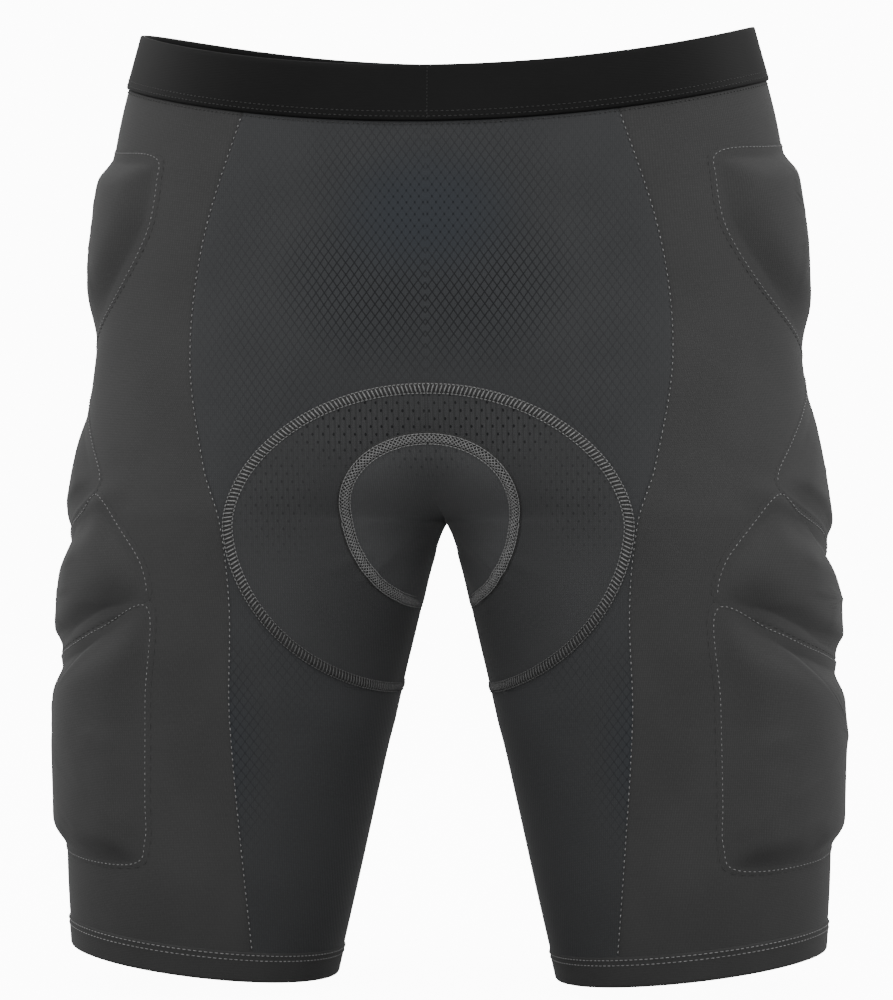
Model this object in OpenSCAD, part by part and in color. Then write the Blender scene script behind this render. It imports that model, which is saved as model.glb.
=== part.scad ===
// Padded impact shorts: knitted panels, foam pads under stitched covers, a seat pad and elastic edges.
// The origin is the centre of the waist opening, level with the waist's highest points.
// +Z is up, -Y is the wearer's front and +X is the wearer's left.

/* [Size] */
// Half the width of the waist opening
waist_half_w = 152; // [149:1:155]
// Half the width over both thighs, without the pads
thigh_half_w = 191; // [188:1:194]
// Distance from the waist's highest point down to the crotch
rise = 245; // [242:1:248]
// Distance from the waist's highest point down to the middle of each hem
outseam = 464; // [460:1:475]

/* [Cloth] */
// Thickness of the knitted panels
cloth = 1.2; // [0.9:0.1:1.4]
// Height of the elastic waistband
band_h = 27; // [24:1:30]
// Height of the turned-up hem
hem_h = 15; // [12:1:18]

/* [Pads] */
// Thickness of the hip and thigh foam
pad_t = 6.5; // [6:0.5:7]
// Thickness of the tailbone foam
tail_t = 8; // [7:0.5:9]
// Thickness of the seat pad's foam
seat_t = 6; // [5:0.5:7]

/* [Hip joint] */
// Radius of the round cut, about the hip axis, between the hips and each leg
cut_r = 158; // [157:1:159]
// Distance of the hip axis above the crotch
hip_rise = 89; // [88:1:90]

/* [Hidden] */

GREY = [0.24, 0.24, 0.245];
MESH_GREY = [0.2, 0.22, 0.24];
BLACK = [0.08, 0.08, 0.085];
FOAM = [0.16, 0.17, 0.18];

seam_gap = 0.15;            // half the gap between neighbouring panels, in degrees
centre_gap = 0.15;          // half the gap between the left and right halves
cut_gap = 0.8;              // clearance on each side of the round cut
hip_axis = [8, -rise + hip_rise]; // the hip axis in Y and Z
hip_fade = 165;             // height above the crotch where the two legs have merged
layer_gap = 1.5;            // clearance between a panel and what lies on it
panel_gap = 2.2;            // clearance between panels along a curved seam

// The outer face of the cloth: half width, front depth and back depth at each height.
HALF_W = [
    [0, waist_half_w], [-50, waist_half_w + 13], [-105, waist_half_w + 21],
    [-155, waist_half_w + 24], [-rise, thigh_half_w - 5], [-320, thigh_half_w],
    [-410, thigh_half_w], [-480, thigh_half_w - 4],
];
FRONT = [[0, 97], [-60, 101], [-120, 104], [-180, 102], [-245, 95], [-300, 89], [-380, 79], [-480, 69]];
BACK = [[0, 93], [-60, 101], [-120, 116], [-165, 121], [-210, 115], [-260, 100], [-340, 86], [-480, 70]];
// Distance of the long front and back seams from the centre at each height.
SEAM = [[-45, 88], [-110, 109], [-165, 115], [-219, 107], [-245, 99], [-285, 95], [-340, 96], [-455, 88]];

// A smooth curve through knots [z, value], which run downwards.
function knot_slope(k, i) =
    let (a = k[max(i - 1, 0)], b = k[min(i + 1, len(k) - 1)]) (b[1] - a[1]) / (b[0] - a[0]);
function knot_span(k, z, i = 0) = i >= len(k) - 2 || z >= k[i + 1][0] ? i : knot_span(k, z, i + 1);
function curve(k, z) =
    let (
        i = knot_span(k, z),
        a = k[i],
        b = k[i + 1],
        h = b[0] - a[0],
        t = (z - a[0]) / h,
        s = min(max(t, 0), 1),
        on_curve = (2 * s^3 - 3 * s^2 + 1) * a[1] + (s^3 - 2 * s^2 + s) * knot_slope(k, i) * h
            + (3 * s^2 - 2 * s^3) * b[1] + (s^3 - s^2) * knot_slope(k, i + 1) * h
    )
    on_curve + (t - s) * h * knot_slope(k, t < 0 ? i : i + 1);

// Half the gap between the legs, below the crotch.
function leg_gap(z) = let (d = -rise - z) 0.225 * d + 4 * (1 - exp(-d / 8));

// One leg's oval at height z: [centre x, half width, front depth, back depth].
// Above the crotch its centre moves to the middle, so the two ovals merge into the hips.
function section(z) =
    let (
        w = curve(HALF_W, z),
        t = min((z + rise) / hip_fade, 1),
        cx = z > -rise ? w / 2 * (1 - t)^2 : (w + leg_gap(z)) / 2
    )
    [cx, w - cx, curve(FRONT, z), curve(BACK, z)];

function clamp1(v) = min(max(v, -1), 1);
// Angle round the oval: from 0 at the inner side, by the front at 90 and the outer side at 180.
function start_angle(z) = z > -rise ? let (s = section(z)) acos(clamp1(s[0] / s[1])) : 0;
function angle_at(x, z) = let (s = section(z)) max(acos(clamp1((s[0] - x) / s[1])), start_angle(z));

function body_point(t, z) =
    let (s = section(z), depth = sin(t) > 0 ? s[2] : s[3]) [s[0] - s[1] * cos(t), -depth * sin(t), z];
function unit(v) = v / norm(v);
function body_normal(t, z) =
    unit(cross(
        body_point(t + 0.5, z) - body_point(t - 0.5, z),
        body_point(t, z + 0.5) - body_point(t, z - 0.5)
    ));
// A point at a distance off the cloth's outer face, kept on its own side of the centre.
function skin(t, z, off = 0) =
    let (p = body_point(t, z) + off * body_normal(t, z)) [max(p[0], centre_gap), p[1], p[2]];

// The waist's edge dips at the front, and each hem is square to its slanting leg.
function waist_z(t) = -17 * sin(t)^2 - 13 * sin(t);
function hem_z(t) = -outseam - 8 * cos(t);

// The height where the round cut about the hip axis, at radius r, meets the cloth.
function hip_radius(p) = norm([p[1] - hip_axis[0], p[2] - hip_axis[1]]);
function cut_z(t, r, lo = -350, hi = -250, n = 24) =
    n == 0 ? (lo + hi) / 2
    : let (mid = (lo + hi) / 2)
        hip_radius(body_point(t(mid), mid)) > r ? cut_z(t, r, mid, hi, n - 1) : cut_z(t, r, lo, mid, n - 1);

// The two ovals of the seat pad, as half widths at each height: the crotch panel and the gusset in it.
function oval(z, mid, up, down, w, power) =
    let (s = min(abs(z - mid) / (z > mid ? up : down), 1)) w * (1 - s^power)^0.5;
function panel_oval(z) = oval(z, -247, 65, 83, 95, 1.8);
function gusset_oval(z) = oval(z, -238, 33, 50, 41, 2);

// Quads and end faces of a closed grid of points: two layers of rows by cols.
function quad(a, b, c, d) = [[a, b, c], [a, c, d]];
function flip(faces, yes) = yes ? [for (f = faces) [f[2], f[1], f[0]]] : faces;
function flat_list(l) = [for (a = l) for (b = a) b];

// A sheet between two rows of angles: point(c, v, layer), where c runs across and v down, from 0 to 1.
module sheet(point, cols, rows, closed = false) {
    n = closed ? cols : cols + 1;
    count = n * (rows + 1);
    function at(layer, j, i) = layer * count + j * n + i % n;
    outer = flat_list([for (j = [0 : rows - 1], i = [0 : cols - 1])
        quad(at(0, j, i), at(0, j + 1, i), at(0, j + 1, i + 1), at(0, j, i + 1))]);
    inner = flat_list([for (j = [0 : rows - 1], i = [0 : cols - 1])
        quad(at(1, j, i), at(1, j, i + 1), at(1, j + 1, i + 1), at(1, j + 1, i))]);
    ends = flat_list([for (i = [0 : cols - 1]) concat(
        quad(at(0, 0, i), at(0, 0, i + 1), at(1, 0, i + 1), at(1, 0, i)),
        quad(at(0, rows, i), at(1, rows, i), at(1, rows, i + 1), at(0, rows, i + 1)))]);
    sides = closed ? [] : flat_list([for (j = [0 : rows - 1]) concat(
        quad(at(0, j, 0), at(1, j, 0), at(1, j + 1, 0), at(0, j + 1, 0)),
        quad(at(0, j, cols), at(0, j + 1, cols), at(1, j + 1, cols), at(1, j, cols)))]);
    polyhedron(
        points = [for (layer = [0, 1], j = [0 : rows], i = [0 : n - 1]) point(i / cols, j / rows, layer)],
        faces = flip(concat(outer, inner, ends, sides), true)
    );
}

// A cloth panel between the angles lo(z) and hi(z), from top to bottom, which are given at a column's angle.
module panel(lo, hi, top, bottom, cols, rows, gather = 1, offsets = [0, -cloth]) {
    angle = function (c) function (z) lo(z) + seam_gap + c * (hi(z) - lo(z) - 2 * seam_gap);
    sheet(function (c, v, layer)
        let (
            t = angle(c),
            z_top = top(t),
            z_bottom = bottom(t),
            z = z_bottom + (z_top - z_bottom) * (1 - v)^gather
        )
        skin(t(z), z, offsets[layer]),
        cols, rows);
}

// Front or back of the same half: the back's angles run the other way.
function facing(t, back) = back ? function (z) 360 - t(z) : t;
module facing_panel(back, inner, outer, top, bottom, cols, rows, gather = 1, offsets = [0, -cloth]) {
    panel(facing(back ? outer : inner, back), facing(back ? inner : outer, back),
        top, bottom, cols, rows, gather, offsets);
}

// The upper edge of the panels under the waistband, and both sides of the round cut.
band_bottom = function (t) waist_z(t(-30)) - band_h - 0.3;
above_cut = function (t) cut_z(t, cut_r - cut_gap);
below_cut = function (t) cut_z(t, cut_r + cut_gap);
hem_top = function (t) hem_z(t(-outseam)) + hem_h + 0.9;
seam_angle = function (z) angle_at(curve(SEAM, z), z);
panel_angle = function (z) angle_at(panel_oval(z), z);
inside_panel_angle = function (z) angle_at(max(panel_oval(z) - panel_gap, 0), z);
gusset_angle = function (z) angle_at(gusset_oval(z), z);
inside_gusset_angle = function (z) angle_at(max(gusset_oval(z) - panel_gap, 0), z);
centre_angle = function (z) start_angle(z);
function level(z) = function (t) z;

module front_panel() color(MESH_GREY) {
    facing_panel(false, panel_angle, seam_angle, band_bottom, level(-236), 6, 18);
    facing_panel(false, panel_angle, seam_angle, level(-264), above_cut, 2, 3);
}

module seat_panel() color(MESH_GREY) {
    facing_panel(true, panel_angle, seam_angle, band_bottom, level(-236), 6, 20);
    facing_panel(true, panel_angle, seam_angle, level(-264), above_cut, 2, 3);
}

module side_panel() color(GREY) {
    panel(seam_angle, function (z) 360 - seam_angle(z), band_bottom, above_cut, 14, 10);
}

// The perforated panel between the two ovals, front and back, which meet at the inseam.
module crotch_panel() color(MESH_GREY) for (back = [false, true]) {
    facing_panel(back, gusset_angle, inside_panel_angle, level(-185), level(-rise), 4, 12, 1.5);
    facing_panel(back, gusset_angle, inside_panel_angle, level(-rise - 0.3), above_cut, 4, 6);
}

// The smooth panel at the crotch, in four pieces of cloth that meet under the body.
module gusset() color(GREY) for (back = [false, true]) {
    facing_panel(back, centre_angle, inside_gusset_angle, level(-207), level(-rise + 2), 3, 10, 2);
    facing_panel(back, centre_angle, inside_gusset_angle, level(-rise - 1.5), level(-280), 3, 6);
}

module thigh_front_panel() color(MESH_GREY) {
    panel(function (z) 0, seam_angle, below_cut, hem_top, 6, 5);
}

module thigh_side_panel() color(GREY) {
    panel(seam_angle, function (z) 360 - seam_angle(z), below_cut, hem_top, 14, 5);
}

module thigh_back_panel() color(MESH_GREY) {
    panel(function (z) 360 - seam_angle(z), function (z) 360, below_cut, hem_top, 6, 5);
}

// A closed band round a leg or the waist, from edge(t) up or down by the heights in span.
module band(edge, span, offsets, cols) {
    sheet(function (c, v, layer)
        let (t = 360 * c, z = edge(t) + span[0] + (span[1] - span[0]) * v, p = body_point(t, z))
        p + offsets[layer] * body_normal(t, z),
        cols, 1, closed = true);
}

module waistband() color(BLACK) {
    band(function (t) waist_z(t), [0, -band_h], [0.8, -1.4], 64);
}

module waist_gripper() color(FOAM) {
    band(function (t) waist_z(t), [-6, -20], [-1.7, -2.4], 64);
}

module hem_band() color(GREY) {
    band(function (t) hem_z(t), [hem_h, 0], [0.3, -cloth - 0.5], 32);
}

module hem_gripper() color(FOAM) {
    band(function (t) hem_z(t), [12, 3], [-cloth - 0.8, -cloth - 1.5], 32);
}

// A small blank label sewn inside the back of the waist.
module care_label() color("white") {
    sheet(function (c, v, layer)
        let (t = 258 + 24 * c, z = waist_z(t) - 14 - 24 * v)
        body_point(t, z) + (layer == 0 ? -2.8 : -3.2) * body_normal(t, z),
        4, 2);
}

// Pad outlines, as [angle, z] on a leg or [x, z] on the back, which a closed curve rounds.
// The thigh pads meet along the round cut, so they turn about the hip without touching.
function outline_curve(p, per) =
    let (n = len(p))
    [for (i = [0 : n - 1], j = [0 : per - 1])
        let (a = p[(i + n - 1) % n], b = p[i], c = p[(i + 1) % n], d = p[(i + 2) % n], t = j / per)
        b + t / 2 * (c - a) + t^2 * (a - 2.5 * b + 2 * c - d / 2) + t^3 * (1.5 * (b - c) + (d - a) / 2)];
function along_cut(t, r) = [t, cut_z(function (z) t, r)];

HIP_PAD = [[141, -80], [143, -67], [160, -62], [186, -58], [212, -62], [229, -67], [231, -80],
    [229, -108], [218, -136], [200, -157], [186, -166], [172, -157], [154, -136], [143, -108]];
FLANK_PAD = [[186, -173], [172, -184], [155, -206], [143, -226], [150, -237], [166, -246],
    [186, -256], [206, -246], [222, -237], [229, -226], [217, -206], [200, -184]];
UPPER_THIGH_PAD = concat(
    [for (t = [113, 130, 150, 180, 210, 230, 247]) along_cut(t, cut_r - 3.5)],
    [[248, -266], [240, -249], [230, -231], [223, -240], [207, -249.5], [186, -259.5], [165, -249.5],
        [149, -240], [141, -231], [126, -248], [115, -266]]
);
LOWER_THIGH_PAD = concat(
    [for (t = [249, 230, 210, 180, 150, 130, 111]) along_cut(t, cut_r + 3.5)],
    [[109, -330], [107, -377], [106, -400], [112, -411], [150, -410], [186, -407], [222, -410],
        [249, -411], [254, -400], [253, -370], [251, -330]]
);
TAILBONE_PAD = [[0, -74], [30, -82], [38, -108], [26, -150], [12, -184], [0, -190], [-12, -184],
    [-26, -150], [-38, -108], [-30, -82]];
SEAT_PAD = [[20, -168], [52, -176], [64, -204], [52, -228], [22, -226], [13, -196]];
FRONT_SEAT_PAD = [[0, -186], [22, -191], [34, -208], [24, -226], [0, -231], [-24, -226], [-34, -208],
    [-22, -191]];

leg_place = function (p, off) skin(p[0], p[1], off);
// A point on the front or back at x, z: both halves meet smoothly at the centre.
function centre_place(back) = function (p, off)
    let (
        t = angle_at(abs(p[0]), p[1]),
        side = back ? 360 - t : t,
        n = body_normal(side, p[1]),
        q = body_point(side, p[1]) + off * (abs(p[0]) < 1 ? unit([0, n[1], n[2]]) : n)
    )
    [p[0] < 0 ? -q[0] : q[0], q[1], q[2]];

// A padded shape on the body: rings of the outline round its centre, with a domed outer layer.
// shares scales the outline for each ring, and dome and floor give the two layers' offsets by share.
module mound(outline, place, per, shares, dome, floor, inward = false) {
    loop = outline_curve(outline, per);
    n = len(loop);
    rings = len(shares);
    centre = [for (a = [0, 1]) [for (p = loop) p[a]] * [for (p = loop) 1 / n]];
    sign = inward ? -1 : 1;
    function spot(share, i) = centre + share * (loop[i] - centre);
    function at(layer, k, i) = layer * (1 + rings * n) + (k == 0 ? 0 : 1 + (k - 1) * n + i % n);
    layers = [dome, floor];
    points = [for (offset = layers) each concat(
        [place(centre, sign * offset(0))],
        [for (share = shares, i = [0 : n - 1]) place(spot(share, i), sign * offset(share))])];
    top = concat(
        [for (i = [0 : n - 1]) [at(0, 0, 0), at(0, 1, i), at(0, 1, i + 1)]],
        flat_list([for (k = [1 : rings - 1], i = [0 : n - 1])
            quad(at(0, k, i), at(0, k + 1, i), at(0, k + 1, i + 1), at(0, k, i + 1))]));
    bottom = [for (f = top) [for (v = [2, 1, 0]) f[v] + 1 + rings * n]];
    rim = flat_list([for (i = [0 : n - 1])
        quad(at(0, rings, i), at(1, rings, i), at(1, rings, i + 1), at(0, rings, i + 1))]);
    faces = concat(top, bottom, rim);
    // A negative volume shows that the outline runs the other way round.
    volume = [for (f = faces) points[f[0]] * cross(points[f[1]], points[f[2]])] * [for (f = faces) 1];
    polyhedron(points = points, faces = flip(faces, volume > 0));
}

// The foam and its cover have the same inner rings, so they stay apart where the body curves.
inner_rings = [0.31, 0.59, 0.81, 0.9];
foam_share = 0.935;
cover_gap = 0.5;
cover_t = 0.8;
foam_edge = 1.2;
// The clearance under a pad; a pad inside the shorts starts past the cloth's inner face.
function under(inward) = inward ? cloth + layer_gap : layer_gap;
// Foam is at full height over most of its width, and its edge is rounded.
function foam_height(s, thick) = foam_edge + (thick - foam_edge) * (1 - min(s / foam_share, 1)^7)^0.5;

module foam(outline, place, thick, per = 2, inward = false) color(FOAM) {
    base = under(inward);
    mound(outline, place, per, [each inner_rings, foam_share],
        function (s) base + foam_height(s, thick), function (s) base, inward);
}

module cover(outline, place, thick, per = 2, inward = false) color(GREY) {
    base = under(inward);
    inside = function (s) s == 1 ? base - 0.2 : base + foam_height(s, thick) + cover_gap;
    mound(outline, place, per, [each inner_rings, 1], function (s) inside(s) + cover_t, inside, inward);
}

module hip_pad_foam() foam(HIP_PAD, leg_place, pad_t);
module hip_pad_cover() cover(HIP_PAD, leg_place, pad_t);
module flank_pad_foam() foam(FLANK_PAD, leg_place, pad_t);
module flank_pad_cover() cover(FLANK_PAD, leg_place, pad_t);
module upper_thigh_pad_foam() foam(UPPER_THIGH_PAD, leg_place, pad_t);
module upper_thigh_pad_cover() cover(UPPER_THIGH_PAD, leg_place, pad_t);
module lower_thigh_pad_foam() foam(LOWER_THIGH_PAD, leg_place, pad_t);
module lower_thigh_pad_cover() cover(LOWER_THIGH_PAD, leg_place, pad_t);
module tailbone_pad_foam() foam(TAILBONE_PAD, centre_place(true), tail_t, 3);
module tailbone_pad_cover() cover(TAILBONE_PAD, centre_place(true), tail_t, 3);
module seat_pad_foam() foam(SEAT_PAD, centre_place(true), seat_t, 4, inward = true);
module seat_pad_cover() cover(SEAT_PAD, centre_place(true), seat_t, 4, inward = true);
module front_seat_pad_foam() foam(FRONT_SEAT_PAD, centre_place(false), seat_t, 3, inward = true);
module front_seat_pad_cover() cover(FRONT_SEAT_PAD, centre_place(false), seat_t, 3, inward = true);

// The same piece on the other side of the centre plane.
module other_side() mirror([1, 0, 0]) children();

waistband();
waist_gripper();
tailbone_pad_foam();
tailbone_pad_cover();
front_seat_pad_foam();
front_seat_pad_cover();
care_label();
front_panel();  // front_panel_left
other_side() front_panel();  // front_panel_right
side_panel();  // side_panel_left
other_side() side_panel();  // side_panel_right
seat_panel();  // seat_panel_left
other_side() seat_panel();  // seat_panel_right
crotch_panel();  // crotch_panel_left
other_side() crotch_panel();  // crotch_panel_right
gusset();  // gusset_left
other_side() gusset();  // gusset_right
hip_pad_foam();  // hip_pad_foam_left
other_side() hip_pad_foam();  // hip_pad_foam_right
hip_pad_cover();  // hip_pad_cover_left
other_side() hip_pad_cover();  // hip_pad_cover_right
flank_pad_foam();  // flank_pad_foam_left
other_side() flank_pad_foam();  // flank_pad_foam_right
flank_pad_cover();  // flank_pad_cover_left
other_side() flank_pad_cover();  // flank_pad_cover_right
upper_thigh_pad_foam();  // upper_thigh_pad_foam_left
other_side() upper_thigh_pad_foam();  // upper_thigh_pad_foam_right
upper_thigh_pad_cover();  // upper_thigh_pad_cover_left
other_side() upper_thigh_pad_cover();  // upper_thigh_pad_cover_right
lower_thigh_pad_foam();  // lower_thigh_pad_foam_left
other_side() lower_thigh_pad_foam();  // lower_thigh_pad_foam_right
lower_thigh_pad_cover();  // lower_thigh_pad_cover_left
other_side() lower_thigh_pad_cover();  // lower_thigh_pad_cover_right
thigh_front_panel();  // thigh_front_panel_left
other_side() thigh_front_panel();  // thigh_front_panel_right
thigh_side_panel();  // thigh_side_panel_left
other_side() thigh_side_panel();  // thigh_side_panel_right
thigh_back_panel();  // thigh_back_panel_left
other_side() thigh_back_panel();  // thigh_back_panel_right
hem_band();  // hem_band_left
other_side() hem_band();  // hem_band_right
hem_gripper();  // hem_gripper_left
other_side() hem_gripper();  // hem_gripper_right
seat_pad_foam();  // seat_pad_foam_left
other_side() seat_pad_foam();  // seat_pad_foam_right
seat_pad_cover();  // seat_pad_cover_left
other_side() seat_pad_cover();  // seat_pad_cover_right
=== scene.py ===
"""Padded impact shorts: knitted panels, stitched pad covers over foam, flatlock seams, waistband and hems."""

import bpy
import numpy as np
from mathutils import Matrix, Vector


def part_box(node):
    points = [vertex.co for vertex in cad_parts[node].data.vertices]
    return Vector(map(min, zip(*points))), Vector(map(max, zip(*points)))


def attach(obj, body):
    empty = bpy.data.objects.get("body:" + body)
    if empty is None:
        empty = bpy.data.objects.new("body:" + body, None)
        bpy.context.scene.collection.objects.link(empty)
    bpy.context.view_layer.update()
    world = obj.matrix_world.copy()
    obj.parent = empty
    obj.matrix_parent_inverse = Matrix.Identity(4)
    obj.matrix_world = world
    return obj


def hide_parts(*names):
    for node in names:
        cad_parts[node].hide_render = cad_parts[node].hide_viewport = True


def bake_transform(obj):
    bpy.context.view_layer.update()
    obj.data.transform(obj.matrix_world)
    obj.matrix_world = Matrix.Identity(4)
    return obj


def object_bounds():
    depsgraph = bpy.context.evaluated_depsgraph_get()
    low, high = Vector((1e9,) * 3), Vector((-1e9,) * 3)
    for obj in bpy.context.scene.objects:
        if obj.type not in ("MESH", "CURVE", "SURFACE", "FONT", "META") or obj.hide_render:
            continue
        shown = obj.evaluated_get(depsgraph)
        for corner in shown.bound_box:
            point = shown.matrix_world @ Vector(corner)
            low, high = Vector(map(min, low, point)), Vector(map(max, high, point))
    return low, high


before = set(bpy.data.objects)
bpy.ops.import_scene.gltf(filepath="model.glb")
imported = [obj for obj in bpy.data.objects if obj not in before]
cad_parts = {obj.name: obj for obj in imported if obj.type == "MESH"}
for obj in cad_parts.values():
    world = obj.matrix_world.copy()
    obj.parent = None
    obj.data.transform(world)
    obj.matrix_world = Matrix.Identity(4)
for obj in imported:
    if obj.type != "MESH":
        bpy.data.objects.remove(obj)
cad_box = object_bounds()

# ---------------------------------------------------------------------------
# The body surface, in millimetres: the one that the CAD solids follow, but rounder just above the crotch.
# A place on one half is an angle round the leg (0 inner, 90 front, 180 outer, 270 back) and a height.
# ---------------------------------------------------------------------------
MM = 0.001
hem_low, hem_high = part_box("hem_band_left")
RISE = 245.0
HIP_FADE = 165.0
CROTCH_SOFT = 0.045
OUTSEAM = -hem_low.z / MM - 8
BAND_H = 27.0
HEM_H = 15.0
HALF_W = [(0, 152), (-50, 165), (-105, 173), (-155, 176), (-RISE, 186), (-320, 191), (-410, 191), (-480, 187)]
FRONT = [(0, 97), (-60, 101), (-120, 104), (-180, 102), (-245, 95), (-300, 89), (-380, 79), (-480, 69)]
BACK = [(0, 93), (-60, 101), (-120, 116), (-165, 121), (-210, 115), (-260, 100), (-340, 86), (-480, 70)]
SEAM = [(-45, 88), (-110, 109), (-165, 115), (-219, 107), (-245, 99), (-285, 95), (-340, 96), (-455, 88)]
HIP_AXIS = (8.0, -156.0)
CUT_R = 158.0


def curve(knots, z):
    """A smooth curve through knots (z, value), which run downwards."""
    zs, vs = np.array(knots, float).T
    slope = np.empty(len(zs))
    slope[1:-1] = (vs[2:] - vs[:-2]) / (zs[2:] - zs[:-2])
    slope[0] = (vs[1] - vs[0]) / (zs[1] - zs[0])
    slope[-1] = (vs[-1] - vs[-2]) / (zs[-1] - zs[-2])
    z = np.asarray(z, float)
    i = np.clip(np.searchsorted(-zs, -z, side="right") - 1, 0, len(zs) - 2)
    h = zs[i + 1] - zs[i]
    t = (z - zs[i]) / h
    s = np.clip(t, 0, 1)
    on = (2 * s**3 - 3 * s**2 + 1) * vs[i] + (s**3 - 2 * s**2 + s) * slope[i] * h
    on += (3 * s**2 - 2 * s**3) * vs[i + 1] + (s**3 - s**2) * slope[i + 1] * h
    return on + (t - s) * h * np.where(t < 0, slope[i], slope[i + 1])


def leg_gap(z):
    """Half the gap between the legs, below the crotch."""
    d = np.maximum(-RISE - z, 0)
    return 0.225 * d + 4 * (1 - np.exp(-d / 8))


def section(z):
    """One leg's oval at height z: centre x, half width, front depth, back depth."""
    w = curve(HALF_W, z)
    t = np.clip((z + RISE) / HIP_FADE, 0, 1)
    t = (np.hypot(t, CROTCH_SOFT) - CROTCH_SOFT) / (np.hypot(1, CROTCH_SOFT) - CROTCH_SOFT)
    cx = np.where(z > -RISE, w / 2 * (1 - t) ** 2, (w + leg_gap(z)) / 2)
    return cx, w - cx, curve(FRONT, z), curve(BACK, z)


def body_point(t, z):
    cx, a, front, back = section(z)
    s = np.sin(np.radians(t))
    return np.stack([cx - a * np.cos(np.radians(t)), -np.where(s > 0, front, back) * s, z + 0 * t], -1)


# The cloth spans the valley between the two halves instead of lying in it
VALLEY = 11.0
VALLEY_FADE = 34.0
VALLEY_SIDE = (22.0, 62.0)


def cloth_point(t, z):
    """body_point, with the valley at the centre rounded off above the crotch."""
    p = body_point(t, z)
    x = np.abs(p[..., 0])
    r = VALLEY * smooth(z, -RISE, -RISE + VALLEY_FADE) * (1 - smooth(x, *VALLEY_SIDE))
    _, _, front, back = section(z)
    rounded = np.sin(np.radians(angle_at(np.hypot(x, r), z)))
    p[..., 1] = np.where(r > 0, np.where(p[..., 1] < 0, -front, back) * rounded, p[..., 1])
    return p


def unit(v):
    return v / np.maximum(np.linalg.norm(v, axis=-1, keepdims=True), 1e-9)


def body_normal(t, z):
    u = body_point(t + 0.5, z) - body_point(t - 0.5, z)
    v = body_point(t, z + 0.5) - body_point(t, z - 0.5)
    return unit(np.cross(u, v))


def angle_at(x, z):
    cx, a, _, _ = section(z)
    return np.degrees(np.arccos(np.clip((cx - x) / a, -1, 1)))


def start_angle(z):
    return angle_at(np.zeros_like(z), z)


def smooth(v, low, high):
    t = np.clip((v - low) / (high - low), 0, 1)
    return t * t * (3 - 2 * t)


# Small folds in the cloth: each runs from one point to another, in x and z, with a width and a depth.
FOLDS = [
    ((12, -252), (34, -272), 3.2, 1.1),
    ((10, -262), (24, -286), 3.0, 0.9),
    ((22, -256), (48, -268), 3.5, 0.5),
    ((30, -330), (62, -304), 7.0, 0.8),
    ((24, -345), (70, -330), 9.0, 0.6),
    ((2, -120), (3, -170), 9.0, 0.3),
]


# The pads' outermost angle, and the height of the seam between the flank and upper thigh pads there
PAD_BACK = 186.0
FLANK_END = -257.0


def relief(t, z, p):
    """How far the cloth stands off the smooth body, the same for every layer: soft waves, folds, and a low
    ridge along the two seams where pads meet, because the foam on both sides lifts the cloth between."""
    x, y = np.abs(p[..., 0]), p[..., 1]
    out = 0.35 * np.sin(x * 0.045 + z * 0.021 + 0.6) * np.sin(z * 0.037 - y * 0.02)
    out *= smooth(-z, 30, 90)
    side = 1 - smooth(np.abs(t - PAD_BACK), 40, 62)
    from_cut = np.hypot(p[..., 1] - HIP_AXIS[0], z - HIP_AXIS[1]) - CUT_R
    from_flank = z - (FLANK_END + 0.5 * np.abs(t - PAD_BACK))
    for gap, high in ((from_cut, 2.2), (from_flank, 2.0)):
        out += high * side * np.exp(-((gap / 8) ** 2)) * (z < -200)
    for (x0, z0), (x1, z1), width, depth in FOLDS:
        dx, dz = x1 - x0, z1 - z0
        s = np.clip(((x - x0) * dx + (z - z0) * dz) / (dx * dx + dz * dz), 0, 1)
        d2 = (x - x0 - s * dx) ** 2 + (z - z0 - s * dz) ** 2
        out += depth * np.exp(-d2 / width**2) * (0.35 + 0.65 * np.sin(np.pi * (0.15 + 0.7 * s)))
    return out


def skin(t, z, off=0.0):
    """Points on the left half, in millimetres, off the cloth's outer face by off."""
    t, z = np.broadcast_arrays(np.asarray(t, float), np.asarray(z, float))
    p = cloth_point(t, z)
    p = p + (off + relief(t, z, p))[..., None] * body_normal(t, z)
    return np.concatenate([np.maximum(p[..., :1], 0), p[..., 1:]], -1)


def waist_z(t):
    s = np.sin(np.radians(t))
    return -17 * s**2 - 13 * s


def hem_z(t):
    return -OUTSEAM - 8 * np.cos(np.radians(t))


def seam_angle(z):
    return angle_at(curve(SEAM, z), z)


# The two ovals of the seat pad: middle height, reach up, reach down, half width, roundness.
OUTER_OVAL = (-247.0, 65.0, 83.0, 95.0, 1.8)
INNER_OVAL = (-238.0, 33.0, 50.0, 41.0, 2.0)


def oval_x(z, oval):
    mid, up, down, w, power = oval
    s = np.clip(np.abs(z - mid) / np.where(z > mid, up, down), 0, 1)
    return w * np.sqrt(np.maximum(1 - s**power, 0))


def oval_point(beta, oval):
    """x and z on an oval at an angle from its top, in radians."""
    mid, up, down, w, power = oval
    c = np.cos(beta)
    return w * np.sqrt(np.maximum(1 - np.abs(c) ** power, 0)), mid + np.where(c > 0, up, down) * c


def oval_end(oval):
    """The angle at which an oval reaches the inseam."""
    beta = np.linspace(1.6, np.pi, 4000)
    x, z = oval_point(beta, oval)
    return beta[np.argmax(x < leg_gap(z))]


def round_cut(t, r):
    """The height at which the round cut about the hip axis meets the cloth at an angle."""
    t = np.asarray(t, float)
    low, high = np.full(t.shape, -350.0), np.full(t.shape, -250.0)
    for _ in range(30):
        mid = (low + high) / 2
        p = body_point(t, mid)
        beyond = np.hypot(p[..., 1] - HIP_AXIS[0], p[..., 2] - HIP_AXIS[1]) > r
        low, high = np.where(beyond, mid, low), np.where(beyond, high, mid)
    return (low + high) / 2


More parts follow.
